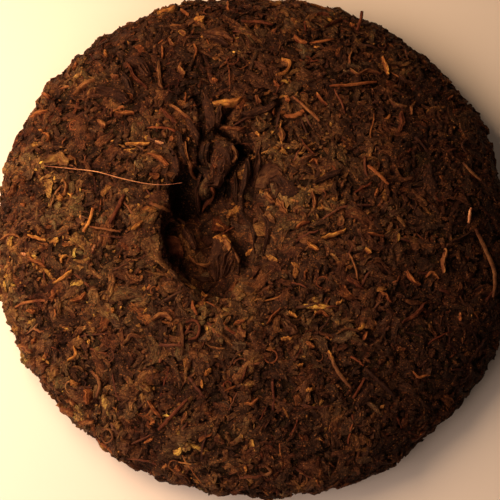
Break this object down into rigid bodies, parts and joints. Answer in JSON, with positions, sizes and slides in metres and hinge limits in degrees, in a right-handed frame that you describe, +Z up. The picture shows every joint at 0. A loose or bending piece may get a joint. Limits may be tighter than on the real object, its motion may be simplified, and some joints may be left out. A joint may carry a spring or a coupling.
{
  "type": "pu erh tea cake",
  "caption": "Round pressed cake of dark pu erh tea leaves, domed, with an off-centre cloth dimple on top, a thin rounded rim and a flat face to rest on.",
  "frame": {"origin": "middle of the flat face that the cake rests on, under the middle of its outline", "axes": "+Z up through the dimpled side; +Y the way the two deepest creases of the dimple run out; the dimple lies off-centre towards -X"},
  "size_m": [0.1928, 0.1956, 0.0304],
  "materials": {
    "pressed_tea": "matte"
  },
  "bodies": {
    "root": {"tea_cake": "pressed_tea"}
  },
  "joints": []
}
